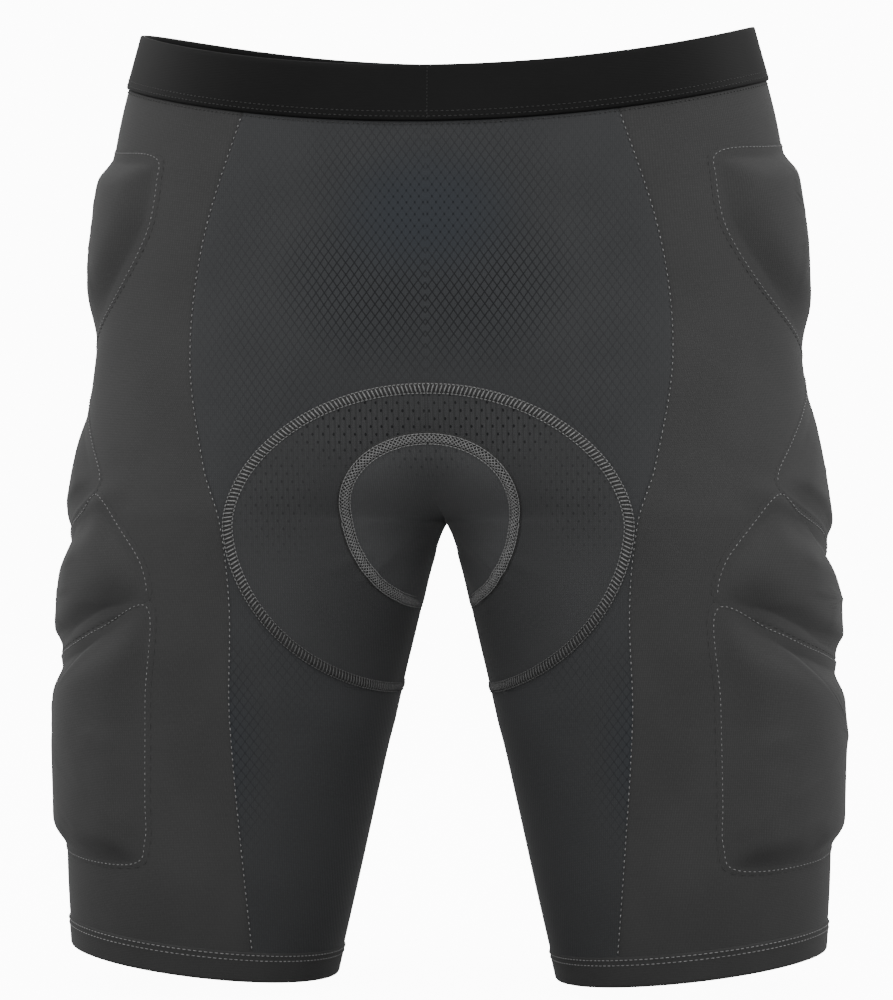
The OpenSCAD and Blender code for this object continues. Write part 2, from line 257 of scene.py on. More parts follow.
# ---------------------------------------------------------------------------
# Pieces: meshes, mirrored for the right side, with the chart kept as a UV map
# ---------------------------------------------------------------------------
SIDES = {"left": 1, "right": -1}
# Millimetres of chart for each degree round the side of a leg, and round a band
SIDE_CHART = 1.75
BAND_CHART = 2.2
BLEND_TO = (0.064, 0.0, -0.373)


def piece(name, points, faces, uv, side, material, sharp=None):
    """A mesh object from points in millimetres. The right side is the mirror image of the left."""
    co = np.array(points, float).reshape(-1, 3) * MM
    uv = np.array(uv, float).reshape(-1, 2) * MM
    if side == "right":
        co[:, 0] *= -1
        faces = [f[::-1] for f in faces]
    mesh = bpy.data.meshes.new(name)
    mesh.from_pydata(co.tolist(), [], faces)
    layer = mesh.uv_layers.new(name="cloth")
    index = np.empty(len(mesh.loops), np.int32)
    mesh.loops.foreach_get("vertex_index", index)
    layer.data.foreach_set("uv", uv[index].astype(np.float32).ravel())
    mesh.polygons.foreach_set("use_smooth", [True] * len(mesh.polygons))
    if sharp is not None:
        pairs = np.empty(len(mesh.edges) * 2, np.int32)
        mesh.edges.foreach_get("vertices", pairs)
        rim = sharp[pairs.reshape(-1, 2)].all(1)
        attribute = mesh.attributes.new("sharp_edge", "BOOLEAN", "EDGE")
        attribute.data.foreach_set("value", rim)
    mesh.validate()
    obj = bpy.data.objects.new(name, mesh)
    bpy.context.scene.collection.objects.link(obj)
    mesh.materials.append(material)
    return obj


def follow(obj, side):
    """Bakes a side piece's placement into its mesh, or attaches a centre piece to the hips."""
    if side in SIDES:
        end = Vector(BLEND_TO)
        end.x *= SIDES[side]
        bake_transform(obj)
    else:
        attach(obj, "hips")


def quads(rows, cols, first=0, closed=False):
    """Faces of a grid of rows by cols points."""
    j, i = np.meshgrid(np.arange(rows - 1), np.arange(cols if closed else cols - 1), indexing="ij")
    a = first + j * cols + i
    b = first + j * cols + (i + 1) % cols
    return np.stack([a, a + cols, b + cols, b], -1).reshape(-1, 4).tolist()


def chart_uv(p, t, z, kind):
    """Where the weave puts each point: flat as seen from the front, or measured round the side."""
    if kind == "front":
        return np.stack([p[..., 0], z + 0 * t], -1)
    return np.stack([(t - 180) * SIDE_CHART, z + 0 * t], -1)


def shell(name, t, z, side, material, outer=0.0, thick=0.9, kind="front", closed=False):
    """A sheet of cloth with two faces and a rim, over a grid of angles and heights."""
    t, z = np.broadcast_arrays(t, z)
    rows, cols = t.shape
    outer = np.broadcast_to(outer, t.shape)
    top, bottom = skin(t, z, outer), skin(t, z, outer - thick)
    uv = chart_uv(top, t, z, kind)
    n = rows * cols
    faces = quads(rows, cols, 0, closed)
    inner = [[v + n for v in f[::-1]] for f in faces]
    loop = rim_loop(rows, cols, closed)
    rim = [[a, a + n, b + n, b] for a, b in loop]
    sharp = np.zeros(2 * n, bool)
    edge = np.array([a for a, _ in loop] + [b for _, b in loop])
    sharp[edge] = True
    sharp[edge + n] = True
    points = np.concatenate([top.reshape(-1, 3), bottom.reshape(-1, 3)])
    uvs = np.concatenate([uv.reshape(-1, 2)] * 2)
    return piece(name, points, faces + inner + rim, uvs, side, material, sharp)


def outward(points, faces):
    """The faces, turned over if they look inwards."""
    a, b, c = np.array([f[:3] for f in faces]).T
    volume = np.einsum("ij,ij->i", points[a], np.cross(points[b], points[c])).sum()
    return [f[::-1] for f in faces] if volume < 0 else faces


def rim_loop(rows, cols, closed):
    """The grid's border as directed edges."""
    at = np.arange(rows * cols).reshape(rows, cols)
    if closed:
        ring = [(at[0, (i + 1) % cols], at[0, i]) for i in range(cols)]
        ring += [(at[-1, i], at[-1, (i + 1) % cols]) for i in range(cols)]
        return ring
    border = list(at[0, ::-1]) + list(at[1:, 0]) + list(at[-1, 1:]) + list(at[-2:0:-1, -1])
    return list(zip(border, border[1:] + border[:1]))


def spread(n):
    """0 to 1 in n steps, closer together at both ends."""
    s = np.linspace(0, 1, n)
    return 0.5 * s + 0.25 * (1 - np.cos(np.pi * s))


# ---------------------------------------------------------------------------
# Materials
# ---------------------------------------------------------------------------


class Graph:
    """A short way to write a material's nodes."""

    def __init__(self, name):
        self.material = bpy.data.materials.new(name)
        self.material.use_nodes = True
        self.tree = self.material.node_tree
        self.shader = self.tree.nodes["Principled BSDF"]
        self.cloth = self.node("ShaderNodeUVMap")
        self.cloth.uv_map = "cloth"
        split = self.node("ShaderNodeSeparateXYZ")
        self.link(self.cloth.outputs[0], split.inputs[0])
        # The chart in millimetres
        self.u = self.mul(split.outputs[0], 1 / MM)
        self.v = self.mul(split.outputs[1], 1 / MM)

    def node(self, kind):
        return self.tree.nodes.new(kind)

    def link(self, output, socket):
        self.tree.links.new(output, socket)

    def mul(self, a, b):
        return self.math("MULTIPLY", a, b)

    def add(self, a, b):
        return self.math("ADD", a, b)

    def less(self, a, b):
        return self.math("SUBTRACT", a, b)

    def most(self, a, b):
        return self.math("MAXIMUM", a, b)

    def put(self, socket, value):
        if isinstance(value, bpy.types.NodeSocket):
            self.link(value, socket)
        else:
            socket.default_value = value

    def math(self, operation, a, b=0.0, c=0.0, clamp=False):
        node = self.node("ShaderNodeMath")
        node.operation = operation
        node.use_clamp = clamp
        for socket, value in zip(node.inputs, (a, b, c)):
            self.put(socket, value)
        return node.outputs[0]

    def noise(self, scale, detail=3.0, rough=0.55, stretch=(1, 1, 1)):
        """Noise over the chart; scale is in features per millimetre."""
        place = self.node("ShaderNodeMapping")
        place.inputs["Scale"].default_value = [s * scale / MM for s in stretch]
        self.link(self.cloth.outputs[0], place.inputs[0])
        node = self.node("ShaderNodeTexNoise")
        node.inputs["Scale"].default_value = 1.0
        node.inputs["Detail"].default_value = detail
        node.inputs["Roughness"].default_value = rough
        self.link(place.outputs[0], node.inputs["Vector"])
        return node.outputs[0]

    def wave(self, value, pitch):
        """0 to 1 and back over each pitch."""
        turn = self.mul(value, 2 * np.pi / pitch)
        return self.math("MULTIPLY_ADD", self.math("SINE", turn), 0.5, 0.5)

    def step(self, value, low, high, to_low=0.0, to_high=1.0):
        node = self.node("ShaderNodeMapRange")
        node.interpolation_type = "SMOOTHSTEP"
        for socket, v in zip(node.inputs, (value, low, high, to_low, to_high)):
            self.put(socket, v)
        return node.outputs[0]

    def near(self, x, z, rx, rz, mirrored=True):
        """1 at a place on the chart, falling to 0 at its rim."""
        u = self.math("ABSOLUTE", self.u) if mirrored else self.u
        du = self.math("DIVIDE", self.less(u, x), rx)
        dv = self.math("DIVIDE", self.less(self.v, z), rz)
        d2 = self.add(self.mul(du, du), self.mul(dv, dv))
        return self.step(self.math("SQRT", d2), 0.15, 1.0, 1.0, 0.0)

    def mix(self, share, a, b):
        node = self.node("ShaderNodeMix")
        node.data_type = "RGBA"
        self.put(node.inputs["Factor"], share)
        self.put(node.inputs["A"], a if isinstance(a, bpy.types.NodeSocket) else (*a, 1))
        self.put(node.inputs["B"], b if isinstance(b, bpy.types.NodeSocket) else (*b, 1))
        return node.outputs["Result"]

    def bump(self, height, distance, strength=1.0):
        node = self.node("ShaderNodeBump")
        node.inputs["Strength"].default_value = strength
        node.inputs["Distance"].default_value = distance * MM
        self.put(node.inputs["Height"], height)
        self.link(node.outputs[0], self.shader.inputs["Normal"])

    def finish(self, colour, roughness, sheen=0.0, sheen_roughness=0.5, specular=0.3):
        self.put(self.shader.inputs["Base Color"], colour)
        self.put(self.shader.inputs["Roughness"], roughness)
        self.shader.inputs["Sheen Weight"].default_value = sheen
        self.shader.inputs["Sheen Roughness"].default_value = sheen_roughness
        self.shader.inputs["Specular IOR Level"].default_value = specular
        return self.material


def grey(value, blue=0.0):
    """A linear colour from an 8-bit grey, a little bluer if asked."""
    base = (value / 255) ** 2.2
    return (base * (1 - blue), base * (1 - 0.2 * blue), base * (1 + blue))


def place_mask(g, places):
    """The strongest of several soft oval places, each given by x, z, its two radii and its share."""
    mask = 0.0
    for x, z, rx, rz, share in places:
        mask = g.most(mask, g.mul(g.near(x, z, rx, rz), share))
    return mask


NET_WIDE = 4.1
NET_TALL = 5.6
HOLE_PITCH = 5.0
HOLE_ROW = 3.7
RIB_PITCH = 2.5


def net_layers(g, places, knots, colour, height, shade):
    """The diamond net of a mesh knit: fine dark lines that cross, and darker knots where they meet."""
    lines = place_mask(g, places)
    spots = place_mask(g, knots)
    lean = NET_WIDE / NET_TALL
    drift = g.mul(g.less(g.noise(0.02, 2.0), 0.5), 2.5)
    u = g.add(g.u, drift)
    rising = g.wave(g.math("MULTIPLY_ADD", g.v, lean, u), NET_WIDE)
    falling = g.wave(g.math("MULTIPLY_ADD", g.v, -lean, u), NET_WIDE)
    net = g.most(g.step(rising, 0.86, 1.0), g.step(falling, 0.86, 1.0))
    net = g.mul(net, g.mul(lines, g.math("MULTIPLY_ADD", spots, -0.75, 1.0)))
    knot = g.step(g.mul(rising, falling), 0.62, 0.95)
    knot = g.mul(knot, g.most(spots, g.mul(lines, 0.35)))
    colour = g.mix(g.mul(lines, 0.35), colour, grey(shade * 0.94, 0.10))
    colour = g.mix(g.mul(spots, 0.75), colour, grey(shade * 0.9, 0.2))
    colour = g.mix(g.mul(net, 0.85), colour, grey(shade * 0.56, 0.06))
    colour = g.mix(g.mul(knot, 0.9), colour, grey(shade * 0.5, 0.22))
    height = g.less(height, g.most(net, knot))
    return colour, height


def hole_layers(g, places, colour, height, shade, blue):
    """Rows of small holes between ribs, staggered row by row."""
    mask = place_mask(g, places)
    lean = HOLE_PITCH / HOLE_ROW / 2
    rising = g.wave(g.math("MULTIPLY_ADD", g.v, lean, g.u), HOLE_PITCH)
    falling = g.wave(g.math("MULTIPLY_ADD", g.v, -lean, g.u), HOLE_PITCH)
    dots = g.mul(g.step(g.mul(rising, falling), 0.74, 0.9), mask)
    ribs = g.mul(g.step(g.wave(g.u, RIB_PITCH), 0.6, 1.0), g.mul(mask, 0.5))
    colour = g.mix(ribs, colour, grey(shade * 0.72, blue))
    colour = g.mix(g.mul(dots, 0.9), colour, grey(shade * 0.4, 0.1))
    height = g.less(height, g.mul(dots, 1.4))
    return colour, height


def knit(name, shade, blue=0.0, meshes=(), knots=(), holes=(), shade_span=None):
    """A fine warp knit. The net shows at meshes and knots, and the cloth is perforated at holes. Between two
    given heights the colour darkens downwards: painted shade low on the legs.
    """
    g = Graph(name)
    cloudy = g.noise(0.018, 3.0)
    heather = g.noise(1.3, 2.0, 0.6, (1, 0.45, 1))
    wale = g.wave(g.u, 1.0)
    course = g.wave(g.math("MULTIPLY_ADD", wale, 0.25, g.v), 0.8)
    loops = g.mul(wale, course)
    colour = g.mix(g.step(cloudy, 0.3, 0.7), grey(shade * 0.965, blue), grey(shade * 1.035, blue))
    colour = g.mix(g.step(heather, 0.35, 0.7, 0.0, 0.3), colour, grey(shade * 1.2, blue))
    colour = g.mix(g.step(loops, 0.0, 0.5, 0.35, 0.0), colour, grey(shade * 0.8, blue))
    height = g.math("MULTIPLY_ADD", loops, 0.35, g.mul(heather, 0.2))
    if meshes:
        colour, height = net_layers(g, meshes, knots, colour, height, shade)
    if holes:
        colour, height = hole_layers(g, holes, colour, height, shade, blue)
    if shade_span:
        # painted shade: the colour darkens towards the lower of the two heights, standing in for the dimmer
        # light low on the legs
        low = g.step(g.v, shade_span[0], shade_span[1], 0.0, 0.3)
        colour = g.mix(low, colour, grey(shade * 0.72, blue))
    g.bump(height, 0.2, 0.7)
    return g.finish(colour, 0.85, 0.1, 0.4, 0.2)


MESH_PLACES = [
    (22, -132, 78, 62, 1.0),
    (20, -92, 70, 60, 0.55),
    (70, -150, 60, 120, 0.35),
    (102, -352, 36, 78, 0.6),
    (70, -300, 30, 60, 0.25),
]
KNOT_PLACES = [(4, -100, 52, 40, 0.85), (104, -356, 28, 56, 0.5)]
HOLE_PLACES = [(25, -198, 66, 32, 1.0), (10, -216, 44, 24, 0.5), (72, -230, 32, 44, 0.45)]
MATERIALS = {
    # the last two heights given to a knit bound its painted shade, darker towards the bottom
    "mesh_knit": knit("mesh_knit", 64, 0.03, meshes=MESH_PLACES, knots=KNOT_PLACES, shade_span=(-330, -470)),
    "smooth_knit": knit("smooth_knit", 64, 0.0, shade_span=(-400, -470)),
    "perforated_knit": knit("perforated_knit", 66, 0.02, holes=HOLE_PLACES, shade_span=(-270, -340)),
    # the gusset knit's shade, 80, is lighter than the panels round it: painted light making up for the shade
    # that falls in the crotch
    "gusset_knit": knit("gusset_knit", 80, 0.02, holes=[(0, -212, 34, 16, 0.5)]),
    "cover_knit": knit("cover_knit", 64, 0.0),
    "hem_knit": knit("hem_knit", 58, 0.0),
}


def elastic():
    """Smooth black elastic with fine ribs along it."""
    g = Graph("waist_elastic")
    ribs = g.wave(g.v, 1.3)
    grain = g.noise(0.9, 2.0, 0.6, (0.25, 1.6, 1))
    cloudy = g.noise(0.025, 3.0)
    colour = g.mix(g.step(cloudy, 0.35, 0.7), grey(16), grey(19))
    colour = g.mix(g.step(grain, 0.4, 0.8, 0.0, 0.35), colour, grey(24))
    g.bump(g.math("MULTIPLY_ADD", ribs, 0.3, grain), 0.08, 0.5)
    return g.finish(colour, 0.6, 0.0, 0.4, 0.16)


def thread(name, shade, shade_span=None):
    """Twisted thread. Given two heights, it darkens downwards between them: painted shade low in the crotch."""
    g = Graph(name)
    twist = g.noise(1.5, 1.0)
    colour = g.mix(g.step(twist, 0.3, 0.7), grey(shade * 0.85), grey(shade * 1.15))
    if shade_span:
        # painted shade: darker towards the lower of the two heights
        colour = g.mix(g.step(g.v, shade_span[1], shade_span[0], 0.8, 0.0), colour, grey(shade * 0.6))
    g.bump(twist, 0.1, 0.5)
    return g.finish(colour, 0.6, 0.2, 0.4, 0.3)


def foam_material():
    g = Graph("foam")
    cells = g.noise(0.8, 4.0, 0.7)
    colour = g.mix(g.step(cells, 0.35, 0.65), grey(34), grey(48))
    g.bump(cells, 0.3, 0.8)
    return g.finish(colour, 0.9, 0.0, 0.5, 0.2)


def tape_material():
    """Grip tape: dark cloth with rows of small silicone dots."""
    g = Graph("gripper")
    dots = g.step(g.mul(g.wave(g.u, 2.6), g.wave(g.v, 2.6)), 0.45, 0.7)
    colour = g.mix(dots, grey(38), grey(70))
    g.bump(dots, 0.4, 0.8)
    return g.finish(colour, g.step(dots, 0, 1, 0.85, 0.4), 0.0, 0.5, 0.4)


def label_material():
    g = Graph("label")
    weave = g.mul(g.wave(g.u, 0.5), g.wave(g.v, 0.5))
    colour = g.mix(g.noise(0.1), grey(205), grey(226))
    g.bump(weave, 0.1, 0.5)
    return g.finish(colour, 0.6, 0.1, 0.4, 0.3)


MATERIALS["waist_elastic"] = elastic()
MATERIALS["thread"] = thread("thread", 124)
# the oval seams' thread is darkened below the crotch: painted shade where the seams run down between the legs
MATERIALS["seam_thread"] = thread("seam_thread", 122, (-262, -305))
MATERIALS["dark_thread"] = thread("dark_thread", 50)
MATERIALS["band_thread"] = thread("band_thread", 44)
MATERIALS["foam"] = foam_material()
MATERIALS["gripper"] = tape_material()
MATERIALS["label"] = label_material()

# ---------------------------------------------------------------------------
# Cloth panels
# ---------------------------------------------------------------------------
SEAM_TOP = -52
SEAM_BOTTOM = -452
BAND_TUCK = 3.0
HEM_TUCK = 2.0


def panel_grid(lo, hi, rows, cols, top=None):
    """Angles and heights of a panel between two boundaries, which are angles by height."""
    c = spread(cols)[None, :]
    v = np.linspace(0, 1, rows)[:, None]
    z = -40 - 410 * v + 0 * c
    for _ in range(8):
        t = lo(z) + (hi(z) - lo(z)) * c
        z_top = (waist_z(t) - BAND_H + BAND_TUCK) if top is None else top(t)
        z_bottom = hem_z(t) + HEM_H - HEM_TUCK
        z = z_bottom + (z_top - z_bottom) * (1 - v)
    t = lo(z) + (hi(z) - lo(z)) * c
    return t, z


def seam_dip(t, z, at, depth=0.55, width=1.1):
    """The cloth sinks towards a seam."""
    a = section(z)[1]
    d = np.radians(np.abs(t - at)) * a
    return -depth * np.exp(-((d / width) ** 2))


UNDERLAP = 3.0


def inner_edge(z):
    """The front panel's inner boundary: the centre, then just inside the outer oval, then the inseam."""
    x = np.maximum(oval_x(z, OUTER_OVAL) - UNDERLAP, 0)
    return np.where(z > -RISE, np.maximum(angle_at(x, z), start_angle(z)), np.where(
        x > leg_gap(z), angle_at(x, z), 0.0))


def front_cloth(side, back):
    # the back's angles run the other way, so its upper edge follows the back of the waist
    top = (lambda t: waist_z(360 - t) - BAND_H + BAND_TUCK) if back else None
    t, z = panel_grid(inner_edge, seam_angle, 230, 64, top=top)
    dip = seam_dip(t, z, seam_angle(z))
    turned = 360 - t if back else t
    name = ("seat_cloth_" if back else "front_cloth_") + side
    if back:
        turned, z, dip = turned[:, ::-1], z[:, ::-1], dip[:, ::-1]
    obj = shell(name, turned, z, side, MATERIALS["mesh_knit"], dip)
    if back:
        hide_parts("seat_panel_" + side, "thigh_back_panel_" + side)
    else:
        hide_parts("front_panel_" + side, "thigh_front_panel_" + side)
    return obj


def side_cloth(side):
    t, z = panel_grid(seam_angle, lambda z: 360 - seam_angle(z), 230, 110)
    at = np.where(t < 180, seam_angle(z), 360 - seam_angle(z))
    obj = shell("side_cloth_" + side, t, z, side, MATERIALS["smooth_knit"],
                seam_dip(t, z, at), kind="side")
    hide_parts("side_panel_" + side, "thigh_side_panel_" + side)
    return obj


def oval_strip(rows, cols, inner):
    """x and z between the two ovals, from the top round to the inseam."""
    a = np.linspace(0, 1, rows)[:, None]
    c = np.linspace(0, 1, cols)[None, :]
    xo, zo = oval_point(a * oval_end(OUTER_OVAL), OUTER_OVAL)
    xi, zi = oval_point(a * oval_end(inner), inner)
    return xi + (xo - xi) * c, zi + (zo - zi) * c


def crotch_angles(x, z):
    low = np.where(z > -RISE, start_angle(z), 0.0)
    return np.maximum(angle_at(x, z), low)


def two_faced(name, t, z, side, material, off, thick):
    """A sheet that runs from the front round the inseam to the back."""
    obj = shell(name + "_" + side, np.concatenate([t, 360 - t[::-1]]), np.concatenate([z, z[::-1]]),
                side, material, off, thick)
    return obj


def crotch_cloth(side):
    x, z = oval_strip(150, 34, INNER_OVAL)
    t = crotch_angles(x, z)
    t[-1] = 0.0
    t, z = t[:, ::-1], z[:, ::-1]
    obj = two_faced("crotch_cloth", t, z, side, MATERIALS["perforated_knit"], 0.5, 0.8)
    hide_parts("crotch_panel_" + side)
    return obj


def gusset_cloth(side):
    """The smooth piece inside the inner oval. Its inner edge is the centre line, then the inseam."""
    rows, cols = 110, 26
    end = oval_end(INNER_OVAL)
    a = np.linspace(0.012, 1, rows)[:, None]
    c = np.linspace(0, 1, cols)[None, :]
    xo, zo = oval_point(a * end, INNER_OVAL)
    top, low = INNER_OVAL[0] + INNER_OVAL[1], zo[-1, 0]
    turn = 0.55
    v = np.where(a < turn, 1 - a / turn, (a - turn) / (1 - turn))
    ze = np.where(a < turn, -RISE + (top + RISE) * v**2, -RISE + (low + RISE) * v**1.6)
    xe = np.where(ze < -RISE, leg_gap(ze), 0)
    x, z = xe + (xo - xe) * c, ze + (zo - ze) * c
    t = crotch_angles(x, z)
    t[:, 0] = np.where(ze[:, 0] < -RISE, 0, start_angle(ze[:, 0]))
    obj = two_faced("gusset_cloth", t[:, ::-1], z[:, ::-1], side, MATERIALS["gusset_knit"],
                    0.9, 0.7)
    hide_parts("gusset_" + side)
    return obj


# ---------------------------------------------------------------------------
# Pads
# ---------------------------------------------------------------------------
HIP_PAD = [(141, -80), (143, -67), (160, -62), (186, -58), (212, -62), (229, -67), (231, -80),
           (229, -108), (218, -136), (200, -157), (186, -166), (172, -157), (154, -136), (143, -108)]
FLANK_PAD = [(186, -171), (172, -184), (155, -206), (143, -226), (150, -238), (166, -247.5),
             (186, -257.5), (206, -247.5), (222, -238), (229, -226), (217, -206), (200, -184)]
UPPER_THIGH_PAD = [(t, float(round_cut(t, CUT_R - 0.7))) for t in (113, 130, 150, 180, 210, 230, 247)] + [
    (248, -266), (240, -249), (230, -231), (223, -240), (207, -248.5), (186, -258.5), (165, -248.5),
    (149, -240), (141, -231), (126, -248), (115, -266)]
LOWER_THIGH_PAD = [(t, float(round_cut(t, CUT_R + 0.3))) for t in (249, 230, 210, 180, 150, 130, 111)] + [
    (109, -330), (107, -377), (106, -400), (112, -412), (150, -411), (186, -407), (222, -411),
    (249, -412), (254, -400), (253, -370), (251, -330)]
TAILBONE_PAD = [(0, -74), (30, -82), (38, -108), (26, -150), (12, -184), (0, -190), (-12, -184),
                (-26, -150), (-38, -108), (-30, -82)]
SEAT_PAD = [(20, -168), (52, -176), (64, -204), (52, -228), (22, -226), (13, -196)]
FRONT_SEAT_PAD = [(0, -186), (22, -191), (34, -208), (24, -226), (0, -231), (-24, -226), (-34, -208),
                  (-22, -191)]


def closed_curve(points, per):
    """A closed Catmull-Rom curve through the points."""
    p = np.array(points, float)
    a, b, c, d = np.roll(p, 1, 0), p, np.roll(p, -1, 0), np.roll(p, -2, 0)
    t = (np.arange(per) / per)[None, :, None]
    a, b, c, d = (q[:, None, :] for q in (a, b, c, d))
    out = b + t / 2 * (c - a) + t**2 * (a - 2.5 * b + 2 * c - d / 2) + t**3 * (1.5 * (b - c) + (d - a) / 2)
    return out.reshape(-1, 2)


def leg_place(chart, off):
    return skin(chart[..., 0], chart[..., 1], off)


def centre_place(back):
    """Puts x and z on the front or back, smoothly across the centre."""

    def place(chart, off):
        x, z = chart[..., 0], chart[..., 1]
        t = np.maximum(angle_at(np.abs(x), z), start_angle(z))
        t = 360 - t if back else t
        p = cloth_point(t, z)
        n = body_normal(t, z)
        n[..., 0] *= smooth(np.abs(x), 0, 12)
        p = p + (off + relief(t, z, p))[..., None] * unit(n)
        p[..., 0] = np.where(x < 0, -p[..., 0], p[..., 0])
        return p

    return place


def even_loop(outline, place, count):
    """The outline's chart points, evenly spaced along the cloth."""
    dense = closed_curve(outline, 40)
    dense = np.concatenate([dense, dense[:1]])
    p = place(dense, np.zeros(len(dense)))
    run = np.concatenate([[0], np.cumsum(np.linalg.norm(np.diff(p, axis=0), axis=1))])
    at = np.linspace(0, run[-1], count, endpoint=False)
    return np.stack([np.interp(at, run, dense[:, k]) for k in (0, 1)], -1), run[-1]


RING_STEPS = 46
RING_COUNT = 260
FLANGE = 2.2
COVER_T = 0.8
CROWN = 1.4
CROWN_REACH = 22.0
RIM_LOW = -0.12
RIM_HIGH = 0.32
SOFTEN_PASSES = 14
EDGE_T = 0.3
# The foam reaches out to where the cover is this high, this far below it
FOAM_FROM = 1.9
FOAM_BELOW = COVER_T + 0.4
# A pad inside the shorts lies this far within the cloth
INSIDE_GAP = 1.3


class Mound:
    """A pad's rings on the cloth, from its middle to its stitched edge, and the height of each point."""

    def __init__(self, outline, place, thick, slopes, middle=None, count=RING_COUNT, steps=RING_STEPS):
        self.place = place
        loop, _ = even_loop(outline, place, count)
        self.middle = loop.mean(0) if middle is None else np.array(middle, float)
        self.share = np.sin(np.linspace(0, 1, steps + 1) * np.pi / 2)[1:] ** 0.9
        self.chart = self.middle + self.share[:, None, None] * (loop - self.middle)
        p = place(self.chart, np.zeros(self.chart.shape[:2]))
        centre = place(self.middle[None], np.zeros(1))
        widths = self.slope_widths(p[-1], slopes)
        low, high = loop[:, 1].min(), loop[:, 1].max()
        self.edge, near = self.nearest(p, p[-1], widths)
        tip_edge, tip_near = self.nearest(centre[None], p[-1], widths)
        self.near = near
        self.top = self.soften(self.height(self.edge, near, self.chart[..., 1], low, high, thick))
        self.tip = float(self.height(tip_edge, tip_near, self.middle[1:], low, high, thick)[0, 0])

    def slope_widths(self, rim, slopes):
        """The slope's width at each point of the edge, by the way the edge faces: up, sideways or down."""
        along = unit(np.roll(rim, -1, 0) - np.roll(rim, 1, 0))
        out = rim - rim.mean(0)
        facing = unit(out - (out * along).sum(1, keepdims=True) * along)[:, 2]
        up, down = np.maximum(facing, 0) ** 2, np.maximum(-facing, 0) ** 2
        widths = slopes[0] * up + slopes[1] * (1 - up - down) + slopes[2] * down
        for _ in range(12):
            widths = (np.roll(widths, 1) + widths + np.roll(widths, -1)) / 3
        return widths

    def nearest(self, p, rim, widths):
        """Each point's distance from the edge, and the same as a share of the slope's width."""
        edge, near = np.empty(p.shape[:2]), np.empty(p.shape[:2])
        for k, ring in enumerate(p):
            gap = np.linalg.norm(ring[:, None, :] - rim[None, ::2, :], axis=-1)
            edge[k] = gap.min(1)
            near[k] = (np.maximum(gap - FLANGE, 0) / widths[None, ::2]).min(1)
        return edge, near

    def height(self, edge, near, z, low, high, thick):
        body = thick[1] + (thick[0] - thick[1]) * smooth(z, low, high)
        crown = 1 - np.exp(-np.maximum(edge - FLANGE, 0) / CROWN_REACH)
        return self.hem(edge) + (body - CROWN) * smooth(near, 0, 1) + CROWN * crown

    def hem(self, edge):
        """The cover's stitched margin, which dives under the cloth round it."""
        return RIM_LOW + (RIM_HIGH - RIM_LOW) * smooth(edge, 0, FLANGE)

    def soften(self, top):
        """Rounds the creases where two slopes meet, but keeps the stitched edge."""
        keep = 1 - smooth(self.edge, FLANGE, FLANGE + 7)
        out = top.copy()
        for _ in range(SOFTEN_PASSES):
            wide = (np.roll(out, 1, 1) + 2 * out + np.roll(out, -1, 1)) / 4
            wide[1:-1] = (wide[:-2] + 2 * wide[1:-1] + wide[2:]) / 4
            out = wide
        return keep * top + (1 - keep) * out

    def at_share(self, field, tip, share):
        """A field over the rings, taken at other shares of the way out in each column."""
        spots = np.concatenate([[0], self.share])
        columns = [np.interp(at, spots, np.concatenate([[tip], column])) for at, column in zip(share.T, field.T)]
        return np.stack(columns, 1)

    def reach(self, top, height):
        """In each column, the share of the way out at which the cover is still higher than height."""
        inside = np.where(top > height, self.share[:, None], 0).max(0)
        for _ in range(4):
            inside = np.minimum(inside, (np.roll(inside, 1) + inside + np.roll(inside, -1)) / 3)
        return inside


SETTLE_SCALE = 10.0
SETTLE_FRAMES = 20
SETTLE_CAP = 1.4
FOAM_STEEPER = 1.15
FOAM_INSET = 0.1
# Metres, at the simulation's scale
CONTACT = 0.003
CLOTH = {
    "quality": 6,
    "mass": 0.3,
    "tension_stiffness": 20,
    "compression_stiffness": 15,
    "shear_stiffness": 8,
    "bending_stiffness": 2,
    "shrink_min": 0.03,
}
settled = {}


